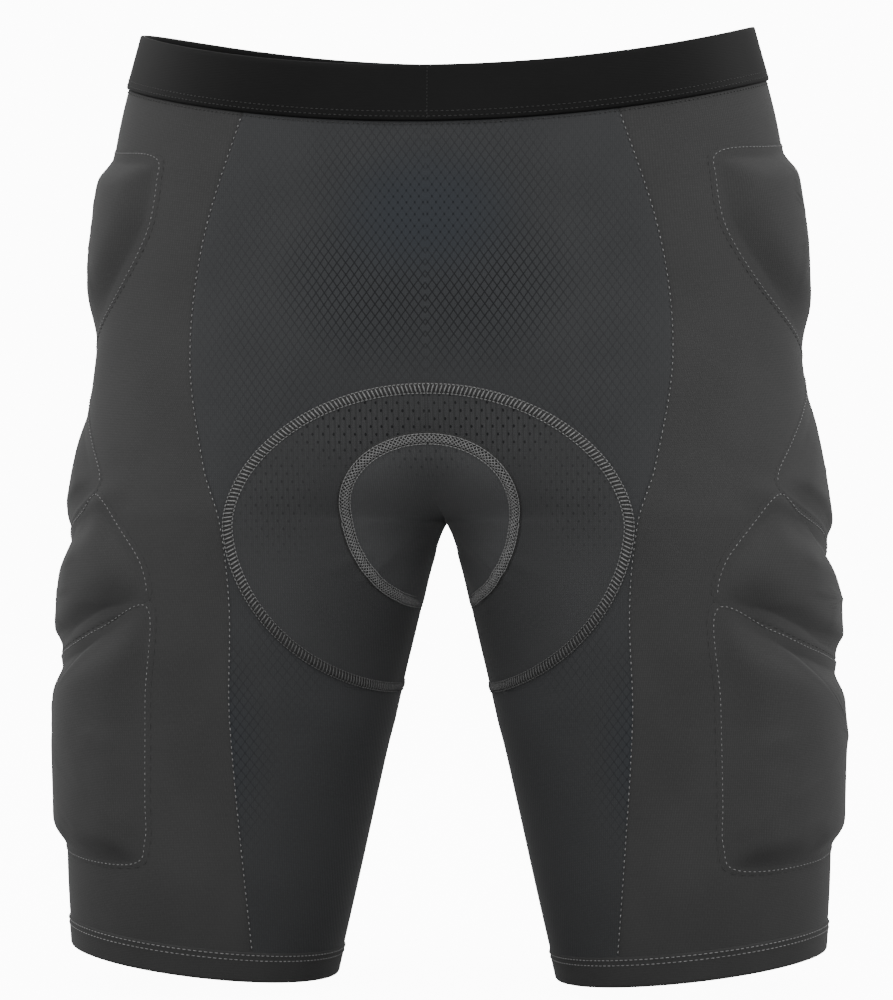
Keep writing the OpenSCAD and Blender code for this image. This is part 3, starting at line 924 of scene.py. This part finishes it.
def settle(name, mound):
    """How far a stretched cover settles onto its foam: a cloth simulation, pinned round the stitched edge.

    It runs ten times larger than life, because the solver's distances suit that size. The result is a change
    of height at each ring point, kept within a cap, so the cover's mesh is only made once.
    """
    if name in settled:
        return settled[name]
    rows, cols = slice(1, None, 2), slice(None, None, 2)
    chart, top = mound.chart[rows, cols], mound.top[rows, cols]
    steps, count = top.shape
    foam_near = np.clip(mound.near[rows, cols] * FOAM_STEEPER - FOAM_INSET, 0, 1)
    foam_top = (top - COVER_T - 0.5) * smooth(foam_near, 0, 1)
    start = ring_points(mound, chart, top, mound.tip)
    under = ring_points(mound, chart, foam_top - 0.5, mound.tip - COVER_T - 0.5)
    above = ring_points(mound, chart, top + 1.0, mound.tip + 1.0)
    faces = [[0, 1 + i, 1 + (i + 1) % count] for i in range(count)] + quads(steps, count, 1, True)
    scene = bpy.context.scene
    made = []
    for label, points in (("settle_foam", under), ("settle_cover", start)):
        mesh = bpy.data.meshes.new(label)
        mesh.from_pydata((points * MM * SETTLE_SCALE).tolist(), [], faces)
        made.append(bpy.data.objects.new(label, mesh))
        scene.collection.objects.link(made[-1])
    foam, cover = made
    foam.modifiers.new("Collision", "COLLISION")
    foam.collision.use_culling = False
    foam.collision.thickness_outer = CONTACT
    pins = cover.vertex_groups.new(name="stitched")
    edge = np.concatenate([[99.0], mound.edge[rows, cols].ravel()])
    pins.add([int(i) for i in np.flatnonzero(edge < FLANGE + 0.3)], 1.0, "REPLACE")
    cloth = cover.modifiers.new("Cloth", "CLOTH")
    for setting, value in CLOTH.items():
        setattr(cloth.settings, setting, value)
    cloth.settings.vertex_group_mass = pins.name
    cloth.settings.effector_weights.gravity = 0
    cloth.collision_settings.distance_min = CONTACT
    for frame_number in range(1, SETTLE_FRAMES + 1):
        scene.frame_set(frame_number)
    result = cover.evaluated_get(bpy.context.evaluated_depsgraph_get()).data
    co = np.empty(len(result.vertices) * 3, np.float32)
    result.vertices.foreach_get("co", co)
    moved = co.reshape(-1, 3) / (MM * SETTLE_SCALE) - start
    for obj in made:
        mesh = obj.data
        bpy.data.objects.remove(obj)
        bpy.data.meshes.remove(mesh)
    scene.frame_set(1)
    change = np.clip((moved * unit(above - start)).sum(1), -SETTLE_CAP, SETTLE_CAP)
    settled[name] = finer(change[1:].reshape(steps, count), change[0], mound.top.shape)
    return settled[name]


def ring_points(mound, chart, top, tip):
    tip_point = mound.place(mound.middle[None], np.array([tip]))
    return np.concatenate([tip_point, mound.place(chart, top).reshape(-1, 3)])


def finer(change, tip, shape):
    """A field on every second ring and column, spread to all of them and smoothed along both."""
    rows = np.concatenate([[-1], np.arange(1, shape[0], 2)])
    full = np.empty((shape[0], change.shape[1]))
    for j in range(change.shape[1]):
        full[:, j] = np.interp(np.arange(shape[0]), rows, np.concatenate([[tip], change[:, j]]))
    wide = np.empty(shape)
    wide[:, ::2] = full
    wide[:, 1::2] = (full + np.roll(full, -1, 1)) / 2
    for _ in range(3):
        wide = (np.roll(wide, 1, 1) + 2 * wide + np.roll(wide, -1, 1)) / 4
        wide[1:-1] = (wide[:-2] + 2 * wide[1:-1] + wide[2:]) / 4
    return wide, float(tip)


def disc(name, place, middle, chart, top, middle_top, bottom, side, material, kind="side"):
    """A closed pad-shaped mesh: a crowned upper face and a lower face, from rings."""
    steps, count = chart.shape[:2]
    upper = place(chart, top)
    lower = place(chart, bottom)
    tip = place(middle[None], np.array([middle_top]))
    base = place(middle[None], np.array([bottom.flat[0]]))
    n = 1 + steps * count
    points = np.concatenate([tip, upper.reshape(-1, 3), base, lower.reshape(-1, 3)])
    uv_chart = np.concatenate([middle[None], chart.reshape(-1, 2)])
    if kind == "side":
        uv = np.stack([(uv_chart[:, 0] - 180) * SIDE_CHART, uv_chart[:, 1]], -1)
    else:
        uv = uv_chart
    i = np.arange(count)
    fan = np.stack([0 * i, 1 + i, 1 + (i + 1) % count], -1).tolist()
    ring_faces = quads(steps, count, 1, True)
    faces = fan + ring_faces
    under = [[v + n for v in f[::-1]] for f in faces]
    last = 1 + (steps - 1) * count
    rim = [[last + k, n + last + k, n + last + (k + 1) % count, last + (k + 1) % count] for k in range(count)]
    sharp = np.zeros(2 * n, bool)
    sharp[last:last + count] = True
    sharp[n + last:n + last + count] = True
    faces = outward(points, faces + under + rim)
    return piece(name, points, faces, np.concatenate([uv, uv]), side, material, sharp)


# Each leg pad: its outline, its thickness at the top and bottom, the widths of its upper, side and lower
# slopes, and its middle.
PADS = {
    "hip_pad": (HIP_PAD, (8.0, 8.0), (12.0, 22.0, 26.0), None),
    "flank_pad": (FLANK_PAD, (3.6, 7.8), (18.0, 18.0, 7.0), None),
    "upper_thigh_pad": (UPPER_THIGH_PAD, (7.4, 8.6), (11.0, 20.0, 6.0), (180, -284)),
    "lower_thigh_pad": (LOWER_THIGH_PAD, (8.2, 8.4), (13.0, 20.0, 9.0), None),
}
TAIL_SLOPES = (12.0, 14.0, 12.0)
SEAT_SLOPES = (9.0, 10.0, 9.0)


def pad_pieces(name, tail, mound, side, material, kind, simulated):
    """The cover and the foam of one pad, on the mound's rings."""
    settle_by, settle_tip = settle(name, mound) if simulated else (0.0, 0.0)
    count = mound.top.shape[1]
    turns = round(count / 4)
    pucker = 0.16 * np.sin(np.arange(count) * 2 * np.pi * turns / count)[None, :] * np.exp(-mound.edge / 3.0)
    top = mound.top + settle_by + pucker
    top = np.maximum(top, mound.hem(mound.edge) + 0.05 * np.maximum(mound.edge - FLANGE, 0))
    top[-1] = RIM_LOW
    tip = mound.tip + settle_tip
    bottom = top - COVER_T + (COVER_T - EDGE_T) * (1 - smooth(mound.edge, 0, FLANGE))
    cover = disc(name + "_cover_cloth" + tail, mound.place, mound.middle, mound.chart, top, tip, bottom,
                 side, material, kind)
    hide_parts(name + "_cover" + tail)
    share = mound.share[::2, None] * mound.reach(top, FOAM_FROM)[None, ::4]
    foam_chart = mound.middle + share[..., None] * (mound.chart[-1, ::4] - mound.middle)
    foam_top = mound.at_share(top[:, ::4], tip, share) - FOAM_BELOW
    foam_top = np.maximum(foam_top, 0.3)
    foam = disc(name + "_foam_core" + tail, mound.place, mound.middle, foam_chart, foam_top,
                tip - FOAM_BELOW, np.full(foam_top.shape, 0.2), side, MATERIALS["foam"], kind)
    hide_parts(name + "_foam" + tail)
    return cover, foam


def leg_pad(name, side):
    outline, thick, slopes, middle = PADS[name]
    mound = Mound(outline, leg_place, thick, slopes, middle)
    return pad_pieces(name, "_" + side, mound, side, MATERIALS["cover_knit"], "side", True)


def centre_pad(name, outline, back, thick, slopes, inward, tail, material):
    surface = centre_place(back)

    def place(chart, off):
        return surface(chart, -(off + INSIDE_GAP) if inward else off)

    mound = Mound(outline, place, (thick, thick), slopes, None, 180, 30)
    return pad_pieces(name, tail, mound, tail.strip("_"), MATERIALS[material], "flat", not inward)


# ---------------------------------------------------------------------------
# Threads: each stitch is a short strand with rounded ends
# ---------------------------------------------------------------------------


def path(chart, place, off, pitch, closed=False):
    """Evenly spaced places along a line on the cloth: points, directions and normals."""
    if closed:
        chart = np.concatenate([chart, chart[:1]])
    p = place(chart, np.full(len(chart), off))
    run = np.concatenate([[0], np.cumsum(np.linalg.norm(np.diff(p, axis=0), axis=1))])
    count = max(int(run[-1] / pitch), 2)
    at = (np.arange(count) + 0.5) * run[-1] / count
    mid = np.stack([np.interp(at, run, chart[:, k]) for k in (0, 1)], -1)
    q = np.stack([np.interp(at, run, p[:, k]) for k in (0, 1, 2)], -1)
    ahead = np.stack([np.interp(at + 0.5, run, p[:, k]) for k in (0, 1, 2)], -1)
    behind = np.stack([np.interp(at - 0.5, run, p[:, k]) for k in (0, 1, 2)], -1)
    up = place(mid, np.full(len(mid), off + 1.0)) - place(mid, np.full(len(mid), off))
    return q, unit(ahead - behind), unit(up)


def strands(centres, directions, normals, length, radius, lift, sides=6, parts=5):
    """Vertices and faces of many strands, each bowed off the cloth by lift."""
    n = len(centres)
    length = np.broadcast_to(length, (n,))
    s = np.linspace(-1, 1, parts)
    swell = np.sqrt(np.maximum(1 - (np.abs(s) * 0.97) ** 4, 0.05))
    across = unit(np.cross(directions, normals))
    up = unit(np.cross(across, directions))
    line = centres[:, None] + directions[:, None] * (length[:, None] / 2 * s)[..., None]
    line = line + up[:, None] * (lift * (1 - s**2) - 0.12 * np.abs(s) ** 3)[None, :, None]
    a = np.arange(sides) * 2 * np.pi / sides
    cos, sin = (f(a)[None, None, :, None] for f in (np.cos, np.sin))
    ring = across[:, None, None] * cos + up[:, None, None] * sin
    v = line[:, :, None] + ring * (radius * swell)[None, :, None, None]
    one = quads(parts, sides, 0, True)
    ends = [list(range(sides)), list(range((parts - 1) * sides, parts * sides))[::-1]]
    size = parts * sides
    faces = [[i + k * size for i in f] for k in range(n) for f in one + ends]
    return v.reshape(-1, 3), faces


def sew(name, side, runs, material="thread"):
    """One piece of thread work from several sets of strands."""
    points, faces, first = [], [], 0
    for v, f in runs:
        points.append(v)
        faces += [[i + first for i in face] for face in f]
        first += len(v)
    points = np.concatenate(points)
    uv = points[:, [0, 2]]
    obj = piece(name, points, faces, uv, side, MATERIALS[material])
    return obj


def dashes(chart, place, off, pitch, length, radius, lift, closed=False):
    q, d, n = path(chart, place, off, pitch, closed)
    return strands(q, d, n, length, radius, lift)


def rungs(chart, place, off, pitch, length, radius, lift, slant=0.0, closed=False, shift=0.0):
    """Strands across a line, each turned from square by slant."""
    q, d, n = path(chart, place, off, pitch, closed)
    across = unit(np.cross(n, d))
    q = q + across * shift
    return strands(q, unit(across + slant * d), n, length, radius, lift)


def offset_line(chart, place, shift):
    """The chart line moved sideways over the cloth by about shift millimetres, by angle and height."""
    p = place(chart, np.zeros(len(chart)))
    d = unit(np.gradient(p, axis=0))
    e = 0.5
    dt = (place(chart + [e, 0], np.zeros(len(chart))) - p) / e
    dz = (place(chart + [0, e], np.zeros(len(chart))) - p) / e
    n = unit(np.cross(dt, dz))
    across = np.cross(n, d) * shift
    g11, g12, g22 = (dt * dt).sum(1), (dt * dz).sum(1), (dz * dz).sum(1)
    b1, b2 = (across * dt).sum(1), (across * dz).sum(1)
    det = g11 * g22 - g12**2
    return chart + np.stack([(b1 * g22 - b2 * g12) / det, (b2 * g11 - b1 * g12) / det], -1)


def seam_line(back):
    z = np.linspace(SEAM_TOP, SEAM_BOTTOM, 300)
    t = seam_angle(z)
    return np.stack([360 - t if back else t, z], -1)


def oval_line(oval, back):
    a = np.linspace(0, 1, 400) * oval_end(oval)
    x, z = oval_point(a, oval)
    t = crotch_angles(x, z)
    return np.stack([360 - t if back else t, z], -1)


def inseam_fade(t):
    """1 over most of an oval, falling towards the inseam, where its seam flattens."""
    return 0.15 + 0.85 * smooth(np.minimum(t, 360 - t), 2, 34)


def oval_place(chart, off):
    return skin(chart[..., 0], chart[..., 1], off * inseam_fade(chart[..., 0]) + 0.1)


def ridge(name, side, oval, width, base, crown):
    """A raised strip under a flatlock seam: the two cloth edges that the threads wrap."""
    across = np.linspace(-1, 1, 9)
    lines = [oval_strip_line(oval, width / 2 * s) for s in across]
    rows = []
    for back in (False, True):
        chart = np.stack(lines, 1)
        if back:
            chart = np.stack([360 - chart[..., 0], chart[..., 1]], -1)[::-1]
        rows.append(chart)
    chart = np.concatenate(rows)
    off = (base + crown * (1 - across**2)[None, :] ** 0.6) * inseam_fade(chart[..., 0])
    return shell(name + "_" + side, chart[..., 0], chart[..., 1], side, MATERIALS["dark_thread"],
                 off, 0.3)


def oval_strip_line(oval, grow):
    """The line beside an oval, grown or shrunk a little, from its top to the inseam."""
    mid, up, down, w, power = oval
    x, z = oval_point(np.linspace(0, 1, 260) * oval_end(oval), (mid, up + grow, down + grow, w + grow, power))
    x = np.maximum(x, np.where(z < -RISE, leg_gap(z), 0))
    return np.stack([crotch_angles(x, z), z], -1)


def sew_side(side):
    made = []
    seams = []
    for back in (False, True):
        line = seam_line(back)
        seams.append(dashes(line, leg_place, -0.2, 3.0, 1.3, 0.3, 0.2))
    made.append(sew("long_seam_stitches_" + side, side, seams))
    made.append(ridge("outer_oval_ridge", side, OUTER_OVAL, 5.2, 0.2, 0.55))
    outer = []
    for back in (False, True):
        line = oval_line(OUTER_OVAL, back)
        outer.append(rungs(line, oval_place, 0.75, 2.0, 4.4, 0.36, 0.3, 0.3))
        for shift in (2.25, -2.25):
            outer.append(dashes(offset_line(line, leg_place, shift), oval_place, 0.6, 2.0, 1.5, 0.26, 0.2))
    made.append(sew("outer_oval_flatlock_" + side, side, outer, "seam_thread"))
    made.append(ridge("inner_oval_ridge", side, INNER_OVAL, 6.2, 0.7, 0.5))
    inner = []
    for back in (False, True):
        line = oval_line(INNER_OVAL, back)
        for slant in (1.0, -1.0):
            inner.append(rungs(line, oval_place, 1.25, 2.0, 6.8, 0.3, 0.25, slant))
        for shift in (2.6, -2.6):
            inner.append(dashes(offset_line(line, leg_place, shift), oval_place, 1.15, 2.0, 2.1, 0.3, 0.2))
    made.append(sew("inner_oval_flatlock_" + side, side, inner, "seam_thread"))
    pads, sewn = [], []
    for outline, *_ in reversed(PADS.values()):
        run, sewn = edge_stitches(outline, leg_place, sewn)
        pads.append(run)
    made.append(sew("pad_edge_stitches_" + side, side, pads))
    return made


EDGE_INSET = 0.972
ROW_GAP = 6.5


def edge_stitches(outline, place, sewn):
    """The stitches just inside a pad cover's edge, left out where another pad's row already runs."""
    loop, _ = even_loop(outline, place, 500)
    middle = loop.mean(0)
    line = middle + (loop - middle) * EDGE_INSET
    q, along, up = path(line, place, 0.32, 2.7, True)
    if len(sewn):
        free = np.linalg.norm(q[:, None] - sewn[None], axis=-1).min(1) > ROW_GAP
        q, along, up = q[free], along[free], up[free]
    return strands(q, along, up, 1.5, 0.22, 0.16), q if len(sewn) == 0 else np.concatenate([sewn, q])


# ---------------------------------------------------------------------------
# Bands
# ---------------------------------------------------------------------------


def waist_place(chart, off):
    """Round the waist the centre is on the axis, so the leg angle is the whole body's angle."""
    t, z = chart[..., 0], chart[..., 1]
    right = np.cos(np.radians(t)) > 0
    half = np.where(right, 180 - t, t)
    p = body_point(half, z)
    n = body_normal(half, z)
    p = p + np.asarray(off)[..., None] * n
    p[..., 0] = np.where(right, -p[..., 0], p[..., 0])
    return p


def band(name, place, edge, profile, count, side, material):
    """A closed band. profile lists height from the edge and distance off the cloth, round its section."""
    a = np.linspace(0, 360, count, endpoint=False)
    prof = np.array(profile, float)
    z = edge(a)[None, :] + prof[:, :1]
    chart = np.stack([np.broadcast_to(a, z.shape), z], -1)
    p = place(chart, np.broadcast_to(prof[:, 1:], z.shape))
    rows = len(prof)
    points = p.reshape(-1, 3)
    faces = []
    for j in range(rows):
        k = (j + 1) % rows
        for i in range(count):
            m = (i + 1) % count
            faces.append([j * count + i, k * count + i, k * count + m, j * count + m])
    faces = outward(points, faces)
    run = np.broadcast_to(a * BAND_CHART, z.shape)
    uv = np.stack([run, z], -1)
    return piece(name, points, faces, uv, side, material)


def round_profile(top, bottom, outer, inner, soft=1.0, steps=14):
    """A flat band's cross-section with soft edges."""
    down = np.linspace(top - soft, bottom + soft, steps)
    out = [(top, (outer + inner) / 2), (top - 0.3 * soft, outer - 0.35 * soft)]
    out += [(h, outer) for h in down]
    out += [(bottom + 0.3 * soft, outer - 0.35 * soft), (bottom, (outer + inner) / 2)]
    out += [(bottom + 0.3 * soft, inner + 0.35 * soft)]
    out += [(h, inner) for h in down[::-1]]
    out += [(top - 0.3 * soft, inner + 0.35 * soft)]
    return out


def make_waist():
    band_obj = band("waistband_elastic", waist_place, waist_z, round_profile(0, -BAND_H, 1.3, -1.5), 360, "",
                    MATERIALS["waist_elastic"])
    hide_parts("waistband")
    tape = band("waist_grip_tape", waist_place, waist_z, round_profile(-6, -20, -1.55, -2.5, 0.5), 300, "",
                MATERIALS["gripper"])
    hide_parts("waist_gripper")
    a = np.linspace(0, 360, 900)
    runs = []
    for drop, off in ((-BAND_H + 2.2, 1.3), (-BAND_H + 4.6, 1.3)):
        line = np.stack([a, waist_z(a) + drop], -1)
        runs.append(dashes(line, waist_place, off, 2.5, 1.6, 0.2, 0.12))
    line = np.stack([a, waist_z(a) - BAND_H - 1.2], -1)
    runs.append(dashes(line, waist_place, 0.15, 2.5, 1.5, 0.2, 0.1))
    z = np.linspace(-1, -BAND_H + 1, 60)
    join = np.stack([90 + 0 * z + 0.2, waist_z(90) + z], -1)
    runs.append(dashes(join, waist_place, 1.3, 1.6, 1.1, 0.16, 0.06))
    threads = sew("waistband_stitches", "", runs, "band_thread")
    return [band_obj, tape, threads]


def make_hem(side):
    outer = 0.55
    hem = band("hem_fold_" + side, leg_place, hem_z, round_profile(HEM_H, 0, outer, -1.6, 1.1), 260, side,
               MATERIALS["hem_knit"])
    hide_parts("hem_band_" + side)
    tape = band("hem_grip_tape_" + side, leg_place, hem_z, round_profile(12, 3, -1.65, -2.4, 0.4), 220, side,
                MATERIALS["gripper"])
    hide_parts("hem_gripper_" + side)
    a = np.linspace(0, 360, 700)
    runs = []
    for up in (HEM_H - 1.6, HEM_H - 4.1):
        line = np.stack([a, hem_z(a) + up], -1)
        runs.append(dashes(line, leg_place, outer, 2.6, 1.9, 0.22, 0.12))
    threads = sew("hem_stitches_" + side, side, runs)
    return [hem, tape, threads]


def make_label():
    c = np.linspace(0, 1, 24)[None, :]
    v = np.linspace(0, 1, 20)[:, None]
    t = 258 + 24 * c + 0 * v
    z = waist_z(t) - 14 - 24 * v
    chart = np.stack([t, z], -1)
    off = -2.9 - 0.5 * np.sin(np.pi * c) * v
    top, bottom = waist_place(chart, off), waist_place(chart, off - 0.25)
    n = top.shape[0] * top.shape[1]
    faces = quads(*t.shape)
    inner = [[i + n for i in f[::-1]] for f in faces]
    rim = [[a, a + n, b + n, b] for a, b in rim_loop(*t.shape, False)]
    uv = np.stack([t * BAND_CHART, z], -1).reshape(-1, 2)
    points = np.concatenate([top.reshape(-1, 3), bottom.reshape(-1, 3)])
    obj = piece("care_label_cloth", points, faces + inner + rim, np.concatenate([uv, uv]), "",
                MATERIALS["label"])
    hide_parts("care_label")
    return obj


# ---------------------------------------------------------------------------
# The whole garment
# ---------------------------------------------------------------------------


for side in SIDES:
    cloths = [front_cloth(side, False), front_cloth(side, True), side_cloth(side)]
    cloths += [crotch_cloth(side), gusset_cloth(side)]
    pads = []
    for name in PADS:
        cover, foam = leg_pad(name, side)
        pads += [cover, foam]
    cover, foam = centre_pad("seat_pad", SEAT_PAD, True, 7.5, SEAT_SLOPES, True, "_" + side,
                             "gusset_knit")
    hems = make_hem(side)
    for obj in cloths + pads + [cover, foam] + sew_side(side) + hems:
        follow(obj, side)

centre = make_waist() + [make_label()]
for name, outline, back, thick, slopes, inward, material, slot in (
    ("tailbone_pad", TAILBONE_PAD, True, 9.5, TAIL_SLOPES, False, "cover_knit", "smooth_knit"),
    ("front_seat_pad", FRONT_SEAT_PAD, False, 7.5, SEAT_SLOPES, True, "gusset_knit", "seat_pad_cloth"),
):
    cover, foam = centre_pad(name, outline, back, thick, slopes, inward, "", material)
    centre += [cover, foam]
centre.append(sew("tailbone_pad_stitches", "", [edge_stitches(TAILBONE_PAD, centre_place(True), [])[0]]))
for obj in centre:
    follow(obj, "")

# ---------------------------------------------------------------------------
# Studio
# ---------------------------------------------------------------------------
CAMERA_AZIMUTH = 5.5
CAMERA_DISTANCE = 1.6
CAMERA_HEIGHT = -0.2345
VIEW_HEIGHT = 0.5


BACKGROUND = 12.0
SKY_LIGHT = 1.0
GROUND_LIGHT = 0.42


def camera_only(tree, seen, lit):
    """A mix of two shaders: the first is what the camera sees, the second lights the object."""
    path = tree.nodes.new("ShaderNodeLightPath")
    mix = tree.nodes.new("ShaderNodeMixShader")
    tree.links.new(path.outputs["Is Camera Ray"], mix.inputs[0])
    tree.links.new(lit.outputs[0], mix.inputs[1])
    tree.links.new(seen.outputs[0], mix.inputs[2])
    return mix


def floor_paint():
    """A pale floor that looks as bright as the backdrop but throws little light up."""
    paint = bpy.data.materials.new("floor")
    paint.use_nodes = True
    tree = paint.node_tree
    shader = tree.nodes["Principled BSDF"]
    shader.inputs["Base Color"].default_value = (0.3, 0.3, 0.3, 1)
    shader.inputs["Roughness"].default_value = 0.9
    glow = tree.nodes.new("ShaderNodeBsdfPrincipled")
    glow.inputs["Base Color"].default_value = (0.9, 0.9, 0.9, 1)
    glow.inputs["Roughness"].default_value = 0.9
    glow.inputs["Emission Color"].default_value = (1, 1, 1, 1)
    glow.inputs["Emission Strength"].default_value = BACKGROUND - 0.8
    mix = camera_only(tree, glow, shader)
    tree.links.new(mix.outputs[0], tree.nodes["Material Output"].inputs[0])
    return paint


def studio_sky():
    """An even white backdrop, and light that is stronger from above than from below."""
    world = bpy.data.worlds.new("studio")
    world.use_nodes = True
    tree = world.node_tree
    lit = tree.nodes["Background"]
    place = tree.nodes.new("ShaderNodeTexCoord")
    split = tree.nodes.new("ShaderNodeSeparateXYZ")
    tree.links.new(place.outputs["Generated"], split.inputs[0])
    ramp = tree.nodes.new("ShaderNodeMapRange")
    ramp.interpolation_type = "SMOOTHSTEP"
    tree.links.new(split.outputs[2], ramp.inputs[0])
    for socket, value in zip(ramp.inputs[1:], (-0.6, 0.8, GROUND_LIGHT, SKY_LIGHT)):
        socket.default_value = value
    tree.links.new(ramp.outputs[0], lit.inputs[1])
    lit.inputs[0].default_value = (1, 1, 1, 1)
    seen = tree.nodes.new("ShaderNodeBackground")
    seen.inputs[0].default_value = (1, 1, 1, 1)
    seen.inputs[1].default_value = BACKGROUND
    mix = camera_only(tree, seen, lit)
    tree.links.new(mix.outputs[0], tree.nodes["World Output"].inputs[0])
    return world


def studio():
    low, high = (Vector(c) for c in cad_box)
    bpy.ops.mesh.primitive_plane_add(size=8, location=(0, 0, low.z - 0.004))
    floor = bpy.context.object
    floor.name = "floor"
    floor.data.materials.append(floor_paint())
    bpy.context.scene.world = studio_sky()
    for name, place, size, power in (
        ("key", (-0.8, -1.5, 1.4), 1.2, 9),
        ("fill", (1.2, -1.5, 1.1), 1.2, 6),
        ("front", (0.1, -2.1, -0.1), 0.9, 7),
        ("rim_left", (-1.5, 0.2, 0.5), 1.0, 6),
        ("rim_right", (1.5, 0.2, 0.5), 1.0, 7),
    ):
        light = bpy.data.lights.new(name, "AREA")
        light.size = size
        light.energy = power
        lamp = bpy.data.objects.new(name, light)
        lamp.location = place
        aim = Vector((0, 0, -0.22)) - Vector(place)
        lamp.rotation_euler = aim.to_track_quat("-Z", "Y").to_euler()
        bpy.context.scene.collection.objects.link(lamp)


def camera():
    az = np.radians(CAMERA_AZIMUTH)
    data = bpy.data.cameras.new("camera")
    data.sensor_fit = "VERTICAL"
    data.sensor_height = 36
    data.lens = 36 * CAMERA_DISTANCE / VIEW_HEIGHT
    obj = bpy.data.objects.new("camera", data)
    obj.location = (CAMERA_DISTANCE * np.sin(az), -CAMERA_DISTANCE * np.cos(az), CAMERA_HEIGHT)
    obj.rotation_euler = (np.pi / 2, 0, az)
    bpy.context.scene.collection.objects.link(obj)
    bpy.context.scene.camera = obj


studio()
camera()
